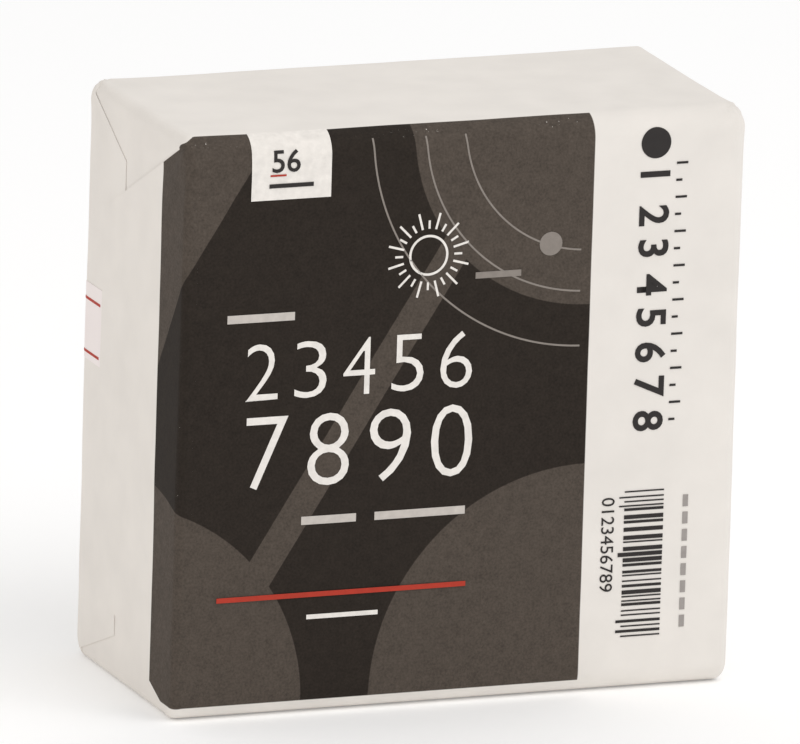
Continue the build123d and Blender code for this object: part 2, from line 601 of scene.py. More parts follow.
# %% Build the eight flaps
flap_insets = {
    "front_flap": 0.0,
    "back_flap": layer_step,
    "top_tuck": 2 * layer_step,
    "bottom_tuck": 2 * layer_step,
}
flap_pieces = {}
fold_lines = {}
for end, side in (("left", -1), ("right", 1)):
    for which, inset in flap_insets.items():
        node = f"{end}_{which}"
        base = outline_side(which)
        tip = free_edge(node, base[0], which.endswith("flap"))
        points, sheet = flap_grid(side, base, tip, inset)
        rows, cols = points.shape[:2]
        piece = mesh_piece(f"paper_{node}", points, grid_quads(rows, cols, side < 0), sheet)
        thicken(piece)
        fold = fold_radius(base[0], base[1])[len(base[0]) // 2]
        middle = base[0][len(base[0]) // 2]
        inward = -base[1][len(base[0]) // 2]
        start = (side * (half_width - fold), middle[0], middle[1])
        end_place = middle + inward * fold
        fold_lines[node] = (start, (side * half_width, end_place[0], end_place[1]))
        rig.blend(piece, "packet", node, *fold_lines[node])
        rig.replaces(piece, node)
        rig.slot(piece, "wrapping_paper")
        flap_pieces[node] = piece
print("flap faces:", {name: len(p.data.polygons) for name, p in flap_pieces.items()})

# %% [markdown]
# ## Materials
#
# Colours are given as they look on a screen and turned into the linear values
# that shaders use. Shared effects, the paper's fibres and the printed field, are
# node groups with named inputs. A painted image would be quicker to draw, but a
# procedure stays sharp at any size and follows the sheet round each fold.

# %% Colour and node helpers
def linear(red, green, blue):
    """A screen colour from 0 to 255 as linear light, with alpha 1.

    With c from 0 to 1, dark values are c / 12.92 and the rest are (c + 0.055) /
    1.055 to the power 2.4.
    """
    c = np.array([red, green, blue]) / 255
    value = np.where(c <= 0.04045, c / 12.92, ((c + 0.055) / 1.055) ** 2.4)
    return (*value.tolist(), 1.0)


def add_node(tree, kind, links=(), **settings):
    """A node of that kind, with settings on its sockets by name or number, and links."""
    node = tree.nodes.new(kind)
    for key, value in settings.items():
        if hasattr(node, key):
            setattr(node, key, value)
    for socket, source in dict(links).items():
        target = node.inputs[socket]
        if isinstance(source, bpy.types.NodeSocket):
            tree.links.new(source, target)
        else:
            target.default_value = source
    return node


def maths(tree, operation, first, second=0.0, third=None):
    """One Math node's result."""
    links = {0: first, 1: second}
    if third is not None:
        links[2] = third
    return add_node(tree, "ShaderNodeMath", links, operation=operation).outputs[0]


def mixed(tree, factor, first, second):
    """A Mix node between two colours."""
    node = add_node(tree, "ShaderNodeMix", data_type="RGBA")
    for socket, source in ((node.inputs[0], factor), (node.inputs[6], first), (node.inputs[7], second)):
        if isinstance(source, bpy.types.NodeSocket):
            tree.links.new(source, socket)
        else:
            socket.default_value = source
    return node.outputs[2]


# %% Texture and group helpers
def noise(tree, vector, scale, detail=3.0, roughness=0.55):
    """A noise texture's value, from about 0.3 to 0.7."""
    links = {"Vector": vector, "Scale": scale, "Detail": detail, "Roughness": roughness}
    return add_node(tree, "ShaderNodeTexNoise", links).outputs["Fac"]


def uneven(tree, vector, scale, share, around=1.0, detail=3.0, roughness=0.55):
    """A value that swings about another: around plus share times (noise - 0.5)."""
    swing = maths(tree, "SUBTRACT", noise(tree, vector, scale, detail, roughness), 0.5)
    return maths(tree, "MULTIPLY_ADD", swing, share, around)


def scaled(tree, colour, factor):
    """A colour multiplied by a value."""
    node = add_node(tree, "ShaderNodeVectorMath", {0: colour}, operation="SCALE")
    tree.links.new(factor, node.inputs["Scale"])
    return node.outputs[0]


def step_between(tree, value, low, high):
    """0 where value is at low or under, 1 at high or over, smooth between."""
    links = {"Value": value, 1: low, 2: high, 3: 0.0, 4: 1.0}
    node = add_node(tree, "ShaderNodeMapRange", links, interpolation_type="SMOOTHSTEP")
    return node.outputs[0]


# %% Node groups
def new_group(name, inputs, outputs):
    """An empty node group with typed sockets: (tree, its input node, its output node)."""
    tree = bpy.data.node_groups.new(name, "ShaderNodeTree")
    kinds = {"value": "NodeSocketFloat", "colour": "NodeSocketColor", "vector": "NodeSocketVector"}
    for socket, kind in inputs.items():
        tree.interface.new_socket(socket, in_out="INPUT", socket_type=kinds[kind])
    for socket, kind in outputs.items():
        tree.interface.new_socket(socket, in_out="OUTPUT", socket_type=kinds[kind])
    return tree, tree.nodes.new("NodeGroupInput"), tree.nodes.new("NodeGroupOutput")


def place_group(tree, group, **values):
    """A copy of a node group in a material, with its inputs linked or set."""
    node = tree.nodes.new("ShaderNodeGroup")
    node.node_tree = group
    for key, value in values.items():
        socket = node.inputs[key.replace("_", " ")]
        if isinstance(value, bpy.types.NodeSocket):
            tree.links.new(value, socket)
        else:
            socket.default_value = value
    return node


# %% [markdown]
# ### Fibres
#
# Uncoated paper is cloudy: fibres gather in soft flecks a few millimetres across,
# and its face is rough at a tenth of that. The group gives both, as a tint that
# multiplies the paper's colour and as a height for its bump.

# %% The fibre group
fibres, fibres_in, fibres_out = new_group(
    "paper fibres", {"Place": "vector", "Cloudiness": "value"}, {"Tint": "value", "Height": "value"}
)
cloud_scale, tooth_scale, blotch_scale = 240.0, 2600.0, 60.0  # cells of noise in a metre
cloud_share, tooth_share = 0.7, 0.3
fibre_place = fibres_in.outputs["Place"]
cloud = noise(fibres, fibre_place, cloud_scale, 4.0)
tooth = noise(fibres, fibre_place, tooth_scale, 2.0)
blotch = noise(fibres, fibre_place, blotch_scale, 2.0)
cloud_swing = maths(fibres, "SUBTRACT", cloud, 0.5)
blotch_swing = maths(fibres, "SUBTRACT", blotch, 0.5)
unevenness = maths(fibres, "ADD", cloud_swing, blotch_swing)
tint = maths(fibres, "MULTIPLY_ADD", unevenness, fibres_in.outputs["Cloudiness"], 1.0)
cloud_height = maths(fibres, "MULTIPLY", cloud, cloud_share)
tooth_height = maths(fibres, "MULTIPLY", tooth, tooth_share)
fibre_height = maths(fibres, "ADD", cloud_height, tooth_height)
fibres.links.new(tint, fibres_out.inputs["Tint"])
fibres.links.new(fibre_height, fibres_out.inputs["Height"])
print("fibre group nodes:", len(fibres.nodes))

# %% [markdown]
# ### The print
#
# The printed field is dark charcoal with quarter discs of grey in its corners and
# slanting bands between them, and it ends in clean straight edges. It is worked
# out from the sheet coordinates, so one group prints the sleeve and the flap
# alike. Ink lies thin on rough paper: it is mottled, and it has rubbed off in
# flecks along the folds.

# %% The print group
field_left = -6.7 * MM  # round the left edge, on the flap
field_right = 46.2 * MM
field_bottom = 61.95 * MM
edge_blur = 0.06 * MM
ink_dark = linear(44, 38, 33)
ink_grey = linear(80, 72, 65)
band_lean = 0.62  # how far the bands run sideways for each step down
band_edges = ((-12.0 * MM, 9.5 * MM), (37.0 * MM, 41.0 * MM))
grey_discs = (  # across, down and radius
    (46.2 * MM, 0.0, 20.5 * MM),
    (46.2 * MM, 62.0 * MM, 24.0 * MM),
    (-8.5 * MM, 62.0 * MM, 23.0 * MM),
)

printed, printed_in, printed_out = new_group(
    "printed field",
    {"Sheet": "vector", "Place": "vector"},
    {"Ink": "colour", "Coverage": "value"},
)
split = add_node(printed, "ShaderNodeSeparateXYZ", {0: printed_in.outputs["Sheet"]})
across, down = split.outputs[0], split.outputs[1]


def inside(tree, value, low, high):
    """1 between low and high, with a narrow soft edge at each."""
    rise = step_between(tree, value, low - edge_blur, low + edge_blur)
    fall = step_between(tree, value, high - edge_blur, high + edge_blur)
    return maths(tree, "SUBTRACT", rise, fall)


leaning = maths(printed, "MULTIPLY_ADD", down, band_lean, across)
bands = None
for low, high in band_edges:
    band = inside(printed, leaning, low, high)
    bands = band if bands is None else maths(printed, "MAXIMUM", bands, band)
for disc_across, disc_down, disc_radius in grey_discs:
    centre = (disc_across, disc_down, 0.0)
    links = {0: printed_in.outputs["Sheet"], 1: centre}
    away = add_node(printed, "ShaderNodeVectorMath", links, operation="DISTANCE").outputs["Value"]
    disc = step_between(printed, away, disc_radius + edge_blur, disc_radius - edge_blur)
    bands = maths(printed, "MAXIMUM", bands, disc)
print("grey bands:", len(band_edges), "and grey discs:", len(grey_discs))

# %% [markdown]
# Ink on rough paper is never even, and a fold rubs it off first. Both effects are
# noise with a threshold or a share; near a fold the threshold is lower, so more of
# the ink is gone there.

# %% Mottle, field and rubbed flecks
mottle_scale, grain_scale = 900.0, 3600.0
mottle_share, grain_share = 0.5, 0.9
print_place = printed_in.outputs["Place"]
mottle = uneven(printed, print_place, mottle_scale, mottle_share)
mottle = uneven(printed, print_place, grain_scale, grain_share, mottle, 2.0, 0.7)
ink_colour = scaled(printed, mixed(printed, bands, ink_dark, ink_grey), mottle)
field_across = inside(printed, across, field_left, field_right)
field_down = inside(printed, down, field_top, field_bottom)
field = maths(printed, "MULTIPLY", field_across, field_down)
top_fold, side_fold = 0.3 * MM, -0.1 * MM  # where the folds run on the sheet
top_rub, side_rub, side_rub_share = 1.6 * MM, 0.9 * MM, 0.7
fleck_scale, patch_scale = 2600.0, 170.0
fleck_level, patch_share, fleck_softness = 0.83, 0.34, 0.05
fold_distance = maths(printed, "ABSOLUTE", maths(printed, "SUBTRACT", down, top_fold))
side_distance = maths(printed, "ABSOLUTE", maths(printed, "SUBTRACT", across, side_fold))
near_top = step_between(printed, fold_distance, top_rub, 0.0)
near_side = step_between(printed, side_distance, side_rub, 0.0)
near_side = maths(printed, "MULTIPLY", near_side, side_rub_share)
near_fold = maths(printed, "MAXIMUM", near_top, near_side)
flecks = noise(printed, print_place, fleck_scale, 4.0, 0.7)
patchy = noise(printed, print_place, patch_scale, 2.0)
rubbing = maths(printed, "MULTIPLY", near_fold, maths(printed, "MULTIPLY", patchy, patch_share))
fleck_limit = maths(printed, "SUBTRACT", fleck_level, rubbing)
fleck_excess = maths(printed, "SUBTRACT", flecks, fleck_limit)
rubbed = step_between(printed, fleck_excess, 0.0, fleck_softness)
coverage = maths(printed, "MULTIPLY", field, maths(printed, "SUBTRACT", 1.0, rubbed))
printed.links.new(ink_colour, printed_out.inputs["Ink"])
printed.links.new(coverage, printed_out.inputs["Coverage"])
print("print group nodes:", len(printed.nodes))

# %% [markdown]
# ### Paper and ink together
#
# The wrapper is thin uncoated paper: dull, slightly warm, with no gloss to speak
# of. The ink sinks in and is only a little smoother, so both share one shader, and
# the ink's coverage mixes colour and roughness.

# %% From a paint to a material
def surface(name, paint, roughness, shine, bump, relief, coat=0.0):
    """A material from paint(tree, place), which gives its colour, height and gloss.

    bump and relief are the strength and height of its fine unevenness. Where gloss
    isn't None, it is a roughness that changes over the surface.
    """
    material = bpy.data.materials.new(name)
    material.use_nodes = True
    tree = material.node_tree
    shader = tree.nodes["Principled BSDF"]
    place = tree.nodes.new("ShaderNodeTexCoord").outputs["Object"]
    shader.inputs["Roughness"].default_value = roughness
    shader.inputs["Specular IOR Level"].default_value = shine
    shader.inputs["Coat Weight"].default_value = coat
    colour, height_source, gloss = paint(tree, place)
    tree.links.new(colour, shader.inputs["Base Color"])
    if gloss is not None:
        tree.links.new(gloss, shader.inputs["Roughness"])
    links = {"Height": height_source, "Strength": bump, "Distance": relief}
    normal = add_node(tree, "ShaderNodeBump", links).outputs[0]
    tree.links.new(normal, shader.inputs["Normal"])
    return material


# %% Printed and plain paper
paper_white = linear(231, 226, 220)
paper_roughness, ink_smoothing = 0.82, -0.08


def paper_material(name, colour, with_print, cloudiness=0.10):
    """Uncoated paper, plain or carrying the printed field."""

    def paint(tree, place):
        """Fibres tint the white, and the ink covers it."""
        fibre = place_group(tree, fibres, Place=place, Cloudiness=cloudiness)
        shade, gloss = scaled(tree, colour[:3], fibre.outputs["Tint"]), None
        if with_print:
            sheet_map = add_node(tree, "ShaderNodeUVMap", uv_map="sheet").outputs[0]
            ink = place_group(tree, printed, Sheet=sheet_map, Place=place)
            coverage = ink.outputs["Coverage"]
            shade = mixed(tree, coverage, shade, ink.outputs["Ink"])
            gloss = maths(tree, "MULTIPLY_ADD", coverage, ink_smoothing, paper_roughness)
        return shade, fibre.outputs["Height"], gloss

    return surface(name, paint, paper_roughness, shine=0.12, bump=0.35, relief=0.05 * MM)


printed_paper = paper_material("printed wrapping paper", paper_white, True)
plain_paper = paper_material("plain wrapping paper", paper_white, False)
sleeve.data.materials.append(printed_paper)
sleeve.data.materials.append(plain_paper)
for node, piece in flap_pieces.items():
    piece.data.materials.append(printed_paper if node == "left_front_flap" else plain_paper)
    piece.data.materials.append(plain_paper)

# %% [markdown]
# ## Small print
#
# Everything finer than the field is real, very thin geometry that lies on the
# paper: bars, line figures and digits. Each is drawn flat in sheet coordinates and
# then set on the front panel, a few hundredths of a millimetre proud of it and
# following its waves. The marks are plain: numbers, bars and rings.

# %% Drawing in sheet coordinates
ink_lift = 0.035 * MM
top_ink_lift = 0.1 * MM  # for the red rules and what is printed on the tab
ink_thickness = 0.02 * MM
ink_step = 0.4 * MM


def on_sleeve(sheet_points, lift):
    """Sheet coordinates (across, down) as places on the sleeve, round its folds.

    The outline's points and directions are read off at each `down`.
    """
    across, down = np.asarray(sheet_points, float).T
    y, z = (np.interp(down, sleeve_down, part) for part in sleeve_place.T)
    out_y, out_z = (np.interp(down, sleeve_down, part) for part in sleeve_out.T)
    flat = np.stack([across - half_width, y, z], axis=-1)
    direction = np.stack([np.zeros_like(out_y), out_y, out_z], axis=-1)
    return flat + direction * (relief(flat) + lift)[:, None]


def bar(left, top, right, bottom):
    """A filled rectangle, in millimetres of the sheet, as (points, quads)."""
    cols = max(2, int((right - left) * MM / ink_step) + 2)
    rows = max(2, int((bottom - top) * MM / ink_step) + 2)
    u, v = np.meshgrid(np.linspace(left, right, cols), np.linspace(top, bottom, rows))
    return np.stack([u, v], axis=-1).reshape(-1, 2) * MM, grid_quads(rows, cols)


# %% Ribbons
sharpest_turn = 0.4  # least cosine a mitre is allowed for


def line(path, thickness, closed=False):
    """A ribbon of even width along a path, in millimetres of the sheet.

    Each point goes half the width to either side along the bisector of the
    normals of its two neighbours' directions, longer where the path turns.
    """
    path = np.asarray(path, float)
    before = np.roll(path, 1, 0) if closed else np.vstack([2 * path[0] - path[1], path[:-1]])
    after = np.roll(path, -1, 0) if closed else np.vstack([path[1:], 2 * path[-1] - path[-2]])
    come = (path - before) / np.linalg.norm(path - before, axis=1)[:, None]
    leave = (after - path) / np.linalg.norm(after - path, axis=1)[:, None]
    tangent = come + leave
    tangent /= np.linalg.norm(tangent, axis=1)[:, None]
    normal = np.stack([-tangent[:, 1], tangent[:, 0]], axis=1)
    reach = thickness / 2 / np.clip((tangent * come).sum(1), sharpest_turn, 1)
    sides = np.stack([path - normal * reach[:, None], path + normal * reach[:, None]], axis=1)
    if closed:
        sides = np.concatenate([sides, sides[:1]])
    return sides.reshape(-1, 2) * MM, grid_quads(len(sides), 2)


# %% Ellipses and digits
def turned_ellipse(centre, half_long, half_short, tilt, first=0.0, last=360.0, steps=72):
    """Points of an ellipse or a stretch of one, tilted clockwise, in millimetres."""
    angle = np.radians(np.linspace(first, last, steps + 1))
    a, b = half_long * np.cos(angle), half_short * np.sin(angle)
    lean = np.radians(tilt)
    return np.stack(
        [centre[0] + a * np.cos(lean) - b * np.sin(lean), centre[1] + a * np.sin(lean) + b * np.cos(lean)],
        axis=1,
    )


def digits(text, left, top, size, turned=False, bold=0.0):
    """Plain numbers as (points, faces); turned ones read downwards from the top."""
    curve = bpy.data.curves.new("digits", "FONT")
    curve.body = text
    curve.size = size
    curve.resolution_u = 4
    curve.offset = bold
    holder = bpy.data.objects.new("digits", curve)
    bpy.context.scene.collection.objects.link(holder)
    bpy.context.view_layer.update()
    mesh = bpy.data.meshes.new_from_object(holder)
    co = np.zeros(len(mesh.vertices) * 3)
    mesh.vertices.foreach_get("co", co)
    x, y = co.reshape(-1, 3)[:, 0], co.reshape(-1, 3)[:, 1]
    faces = [tuple(p.vertices)[::-1] for p in mesh.polygons]
    bpy.data.objects.remove(holder)
    bpy.data.meshes.remove(mesh)
    bpy.data.curves.remove(curve)
    if turned:
        points = np.stack([left + y - y.min(), top + x - x.min()], axis=1)
    else:
        points = np.stack([left + x - x.min(), top + y.max() - y], axis=1)
    return points * MM, faces


# %% Laying drawings on the sleeve
def ink_piece(name, drawings, material, lift=ink_lift):
    """One object from many drawings, laid on the sleeve."""
    points, faces, used = [], [], 0
    for drawn, drawn_faces in drawings:
        points.append(drawn)
        faces += [[int(i) + used for i in face] for face in drawn_faces]
        used += len(drawn)
    piece = mesh_piece(name, on_sleeve(np.concatenate(points), lift), faces)
    piece.data.materials.append(material)
    thicken(piece, ink_thickness)
    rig.ride(piece, "packet")
    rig.slot(piece, "wrapping_paper")
    return piece


# %% [markdown]
# ### Inks
#
# The wrapper is printed in few colours: the dark field, a red and greys. Where a
# mark is white the paper shows, so that "ink" has the paper's colour and dullness.
# Each is one flat colour with the same mottle as the field.

# %% Inks
def ink_material(name, colour, roughness=0.6):
    """Ink that is a little mottled, like the field."""

    def paint(tree, place):
        """The colour with soft speckles, on a faint tooth."""
        speckle = uneven(tree, place, scale=1100.0, share=0.35)
        return scaled(tree, colour[:3], speckle), noise(tree, place, 1800.0, 2.0), None

    return surface(name, paint, roughness, shine=0.3, bump=0.2, relief=0.03 * MM)


white_ink = ink_material("bare paper in the print", linear(233, 228, 222), 0.8)
soft_ink = ink_material("light grey ink", linear(196, 189, 182))
pale_ink = ink_material("pale grey ink", linear(136, 128, 121))
worn_ink = ink_material("worn grey ink", linear(158, 152, 148))
red_ink = ink_material("red ink", linear(176, 52, 34))
black_ink = ink_material("black ink", linear(42, 38, 37))
print("materials so far:", len(bpy.data.materials))

# %% [markdown]
# ### What is drawn
#
# A white tab with a number hangs from the top edge. Below it two rows of plain
# numbers stand where a title would, with thin bars above and below. A dial and
# faint arcs fill the upper right, and the white strip beside the field carries a
# ruler's numbers and a block of bars. Every place and size below is in millimetres
# of the sheet, across from the left fold and down from the top edge.

# %% The tab
tab_left, tab_right, tab_bottom = 7.3, 16.3, 6.9
tab_top = (field_top - edge_blur) / MM  # with the field, just over the top edge
white_print = [bar(tab_left, tab_top, tab_right, tab_bottom)]
tab_print = [
    digits("56", tab_left + 2.3, 1.5, 3.4, bold=0.03),
    bar(tab_left + 2.0, 5.15, tab_right - 2.0, 5.6),
]
red_print = [bar(tab_left + 2.1, 4.15, tab_left + 3.9, 4.35)]


# %% The two rows of numbers
drawn_size, stroke_thinning = 8.0, 0.10


def fitted(text, left, top, wide, tall):
    """One number scaled to a width and a height, with thinner strokes."""
    points, faces = digits(text, 0.0, 0.0, drawn_size, bold=-stroke_thinning)
    span = points.max(0)
    return points / span * (wide * MM, tall * MM) + (left * MM, top * MM), faces


for text, left, top, wide, tall, pitch in (
    ("23456", 7.3, 22.5, 3.6, 6.2, 5.5),
    ("7890", 7.5, 30.5, 4.7, 7.9, 7.0),
):
    for number, character in enumerate(text):
        white_print.append(fitted(character, left + number * pitch, top, wide, tall))

# %% Bars and rules around them
soft_print = [
    bar(5.0, 19.2, 12.6, 20.1),
    bar(14.0, 41.7, 20.2, 42.6),
    bar(22.3, 41.7, 32.6, 42.6),
]
white_print.append(bar(14.9, 52.5, 23.0, 53.0))
red_print.append(bar(4.6, 50.0, 32.9, 50.55))

# %% A dial and faint arcs in the upper right
dial, dial_radius, dial_ticks = (27.6, 14.0), 2.1, 24
tick_start, short_tick, long_tick = 2.9, 3.8, 4.7
ring = turned_ellipse(dial, dial_radius, dial_radius, 0)[:-1]
white_print.append(line(ring, 0.26, closed=True))
for number, angle in enumerate(np.linspace(0, 2 * np.pi, dial_ticks + 1)[:-1]):
    ends = (tick_start, long_tick if number % 2 else short_tick)
    stroke = [(dial[0] + r * np.cos(angle), dial[1] + r * np.sin(angle)) for r in ends]
    white_print.append(line(stroke, 0.24))
pale_print = [
    line(turned_ellipse((46.0, 0.0), 19.0, 19.0, 0, 93, 177), 0.2),
    line(turned_ellipse((46.0, 0.0), 14.5, 14.5, 0, 94, 176), 0.2),
    line(turned_ellipse((46.0, 0.0), 25.0, 25.0, 0, 92, 178), 0.2),
    bar(33.0, 16.2, 38.2, 16.9),
]
dot = turned_ellipse((41.5, 13.6), 1.3, 1.3, 0, steps=28)[:-1]
pale_print.append((dot * MM, [list(range(len(dot)))]))
print("dial ticks:", dial_ticks, "and pale pieces:", len(pale_print))

# %% The ruler on the white strip
dark_print = []
ruler_left, ruler_top, ruler_pitch, ruler_count = 51.5, 6.4, 3.75, 8
mark_in, mark_rise, mark_thick = 4.1, 0.9, 0.25
for number in range(ruler_count):
    top = ruler_top + ruler_pitch * number
    dark_print.append(digits(str(number + 1), ruler_left, top, 4.7, turned=True, bold=0.09))
    for part, reach in ((0.0, 1.3), (0.5, 0.7)):
        at = top + ruler_pitch * part - mark_rise
        mark_left = ruler_left + mark_in
        dark_print.append(bar(mark_left, at, mark_left + reach, at + mark_thick))
disc = turned_ellipse((53.2, 3.3), 1.7, 1.7, 0, steps=40)[:-1]
dark_print.append((disc * MM, [list(range(len(disc)))]))


# %% A block of bars below the ruler
# The bars and gaps are drawn at random, so they stand for no number.
code_left, code_right, code_top, code_bottom = 50.3, 55.4, 41.4, 58.2
bar_widths, gap_widths = [0.16, 0.16, 0.3, 0.45], [0.17, 0.17, 0.32, 0.45]
long_share, long_extra, last_gap = 0.12, 0.6, 0.5
rng = np.random.default_rng(21)
at = code_top
while at < code_bottom - last_gap:
    thick = rng.choice(bar_widths)
    short = 0.0 if rng.random() < long_share else long_extra
    dark_print.append(bar(code_left + short, at, code_right, at + thick))
    at += thick + rng.choice(gap_widths)
dark_print.append(digits("0123456789", 48.3, code_top + 0.6, 2.1, turned=True))
dash_top, dash_pitch, dash_length, dash_count = 42.2, 1.9, 1.3, 8
grey_strip = []
for number in range(dash_count):
    top = dash_top + dash_pitch * number
    grey_strip.append(bar(57.6, top, 58.2, top + dash_length))
print("dark pieces:", len(dark_print), "and grey dashes:", len(grey_strip))

# %% Lay the print on the paper
ink_piece("white_print", white_print, white_ink)
ink_piece("soft_print", soft_print, soft_ink)
ink_piece("pale_print", pale_print, pale_ink)
ink_piece("red_print", red_print, red_ink, top_ink_lift)
ink_piece("tab_print", tab_print, black_ink, top_ink_lift)
black_print = ink_piece("black_print", dark_print, black_ink)
ink_piece("strip_print", grey_strip, worn_ink)
print("black print faces:", len(black_print.data.polygons))

# %% [markdown]
# ## The sticker
#
# A small plain sticker sits on the left back flap, beside the front flap's free
# edge. It is whiter than the wrapper and carries two red rules. It was put on after
# the wrapper was folded, so it takes the flap's shape; a flat card set beside the
# flap would float off it at the fold.

# %% Patches on a back flap
def end_patch(name, side, box, proud, thickness, material, slot):
    """A thin rectangle on a back flap, following the fold and the relief of the paper.

    box is (y low, y high, z low, z high). Where y is within the fold's radius r of
    the back, cos a = 1 - (back - y) / r, and the place is the flap's own at angle a.
    """
    y_low, y_high, z_low, z_high = box
    cols = max(3, int((y_high - y_low) / ink_step) + 2)
    rows = max(3, int((z_high - z_low) / ink_step) + 2)
    y, z = np.meshgrid(np.linspace(y_high, y_low, cols), np.linspace(z_low, z_high, rows))
    cosine = np.clip(1 - (back_y - y) / back_fold, 0, 1)
    sine = np.sqrt(1 - cosine**2)
    x = half_width - back_fold + (back_fold - layer_step) * sine
    flat = np.stack([side * x, y, z], axis=-1)
    direction = np.stack([side * sine, cosine, np.zeros_like(y)], axis=-1)
    points = flat + direction * (relief(flat) + proud)[..., None]
    piece = mesh_piece(name, points, grid_quads(rows, cols, side > 0))
    piece.data.materials.append(material)
    thicken(piece, thickness)
    node = "left_back_flap" if side < 0 else "right_back_flap"
    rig.blend(piece, "packet", node, *fold_lines[node])
    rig.slot(piece, slot)
    return piece


# %% Sticker and its rules
label_low, label_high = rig.box("side_label")
sticker_paper = paper_material("sticker paper", linear(240, 232, 230), False, 0.05)
sticker_box = (label_low.y, label_high.y, label_low.z, label_high.z)
left_end, right_end = -1, 1
sticker_proud, sticker_thick = 0.05 * MM, 0.04 * MM
rule_proud, rule_thick = 0.08 * MM, 0.05 * MM
rule_inset, rule_width = 0.4 * MM, 0.3 * MM
sticker = end_patch(
    "sticker", left_end, sticker_box, sticker_proud, sticker_thick, sticker_paper, "sticker_paper"
)
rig.replaces(sticker, "side_label")
for name, above in (("upper_rule", 1.6 * MM), ("lower_rule", 7.4 * MM)):
    rule_top = label_high.z - above
    rule_box = (label_low.y + rule_inset, label_high.y, rule_top - rule_width, rule_top)
    end_patch(
        f"sticker_{name}", left_end, rule_box, rule_proud, rule_thick, red_ink, "sticker_paper"
    )
print("sticker size:", (label_high - label_low)[:])

# %% [markdown]
# ## The chalk
#
# The block is pressed powder: matt, very white, with softly crumbled edges. It is a
# rounded box made from a cube of points. Each point is pulled in to an inner box
# and pushed out again by the edge radius; then a little noise crumbles the edges
# and pits the faces. It shows only when the flaps are open.

# %% Rounded block
chalk_low, chalk_high = (np.array(v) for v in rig.box("chalk_block"))
chalk_middle, chalk_half = (chalk_low + chalk_high) / 2, (chalk_high - chalk_low) / 2
chalk_radius = 2.35 * MM
chalk_cells = 64
edge_spread = 1.25  # over 1 it draws the grid's lines towards the edges
least_length = 1e-9  # keeps a division from meeting zero


def box_faces(cells):
    """The six faces of a cube from -1 to 1 as grids of points, wound to face outwards."""
    t = np.linspace(-1, 1, cells + 1)
    u, v = np.meshgrid(t, t)
    one = np.ones_like(u)
    for axis in range(3):
        for sign in (-1, 1):
            face = np.empty(u.shape + (3,))
            face[..., axis] = sign * one
            face[..., (axis + 1) % 3] = u
            face[..., (axis + 2) % 3] = v
            yield face, sign < 0


def rounded(cube, half, radius):
    """A cube point moved to the rounded box: (places, outward directions).

    Clamp it to the inner box, then go out by the radius.
    """
    spread = np.sign(cube) * (1 - (1 - np.abs(cube)) ** edge_spread)
    outer = spread * half
    inner = np.clip(outer, -(half - radius), half - radius)
    away = outer - inner
    length = np.maximum(np.linalg.norm(away, axis=-1, keepdims=True), least_length)
    return inner + away / length * radius, away / length


print("chalk size in mm:", (2 * chalk_half / MM).round(1))

# %% Crumbled edges and pits
edge_start = 0.86  # of the half size
crumble_depth, crumble_length = 0.10 * MM, 3.2 * MM
pit_depth, pit_length = 0.05 * MM, 1.6 * MM
skin_loss = 0.03 * MM  # rubbed off all over
chalk_points, chalk_faces = [], []
start = 0
for cube_face, flip in box_faces(chalk_cells):
    skin_points, outward = rounded(cube_face, chalk_half, chalk_radius)
    edge = (np.abs(cube_face) > edge_start).sum(-1) >= 2
    crumble = crumble_depth * waves(skin_points, crumble_length, seed=31) * edge
    pits = pit_depth * waves(skin_points, pit_length, seed=32)
    depth = np.minimum(crumble + pits, 0) - skin_loss
    points = chalk_middle + skin_points + outward * depth[..., None]
    chalk_points.append(points.reshape(-1, 3))
    chalk_faces.append(grid_quads(chalk_cells + 1, chalk_cells + 1, flip) + start)
    start += len(chalk_points[-1])
chalk = mesh_piece("chalk", np.concatenate(chalk_points), np.concatenate(chalk_faces))
weld = chalk.modifiers.new("weld", "WELD")
weld.merge_threshold = 0.004 * MM
print("chalk points before welding:", start)

# %% [markdown]
# Chalk has hardly any shine: its grains scatter light in every direction. What
# tells it from paper is a fine grain, brighter where loose powder sits.

# %% The chalk finish
pressed_white, loose_white = linear(237, 236, 233), linear(248, 248, 246)


def chalk_paint(tree, place):
    """Coarse grit and fine powder, brighter where they are high."""
    coarse = noise(tree, place, scale=420.0, detail=5.0, roughness=0.65)
    fine = noise(tree, place, scale=3000.0, detail=3.0, roughness=0.7)
    fine_part = maths(tree, "MULTIPLY", fine, 0.4)
    grain = maths(tree, "ADD", maths(tree, "MULTIPLY", coarse, 0.6), fine_part)
    bright = step_between(tree, grain, low=0.35, high=0.6)
    return mixed(tree, bright, pressed_white, loose_white), grain, None


chalk_finish = surface(
    "pressed chalk", chalk_paint, roughness=0.97, shine=0.15, bump=0.7, relief=0.12 * MM
)
chalk.data.materials.append(chalk_finish)
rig.ride(chalk, "packet")
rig.replaces(chalk, "chalk_block")
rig.slot(chalk, "pressed_chalk")
print("chalk faces:", len(chalk.data.polygons))

# %% [markdown]
# ## The glue
#
# The glue is a thin hot-melt film: cream, a little glossy and rippled where it was
# pressed. At the ends it stays on the back flap when the front flap is lifted; the
# strip in the lap seam is never seen and keeps its CAD solid.

# %% Glue finish
thick_cream, thin_cream = linear(214, 200, 168), linear(232, 222, 196)


def glue_paint(tree, place):
    """Soft ripples, paler where the film is thin."""
    ripple = noise(tree, place, scale=500.0)
    thin = step_between(tree, ripple, low=0.35, high=0.65)
    return mixed(tree, thin, thick_cream, thin_cream), ripple, None


adhesive = surface(
    "adhesive", glue_paint, roughness=0.38, shine=0.5, bump=0.5, relief=0.1 * MM, coat=0.2
)
for material_slot in frame["nodes"]["lap_glue_strip"].material_slots:
    material_slot.material = adhesive

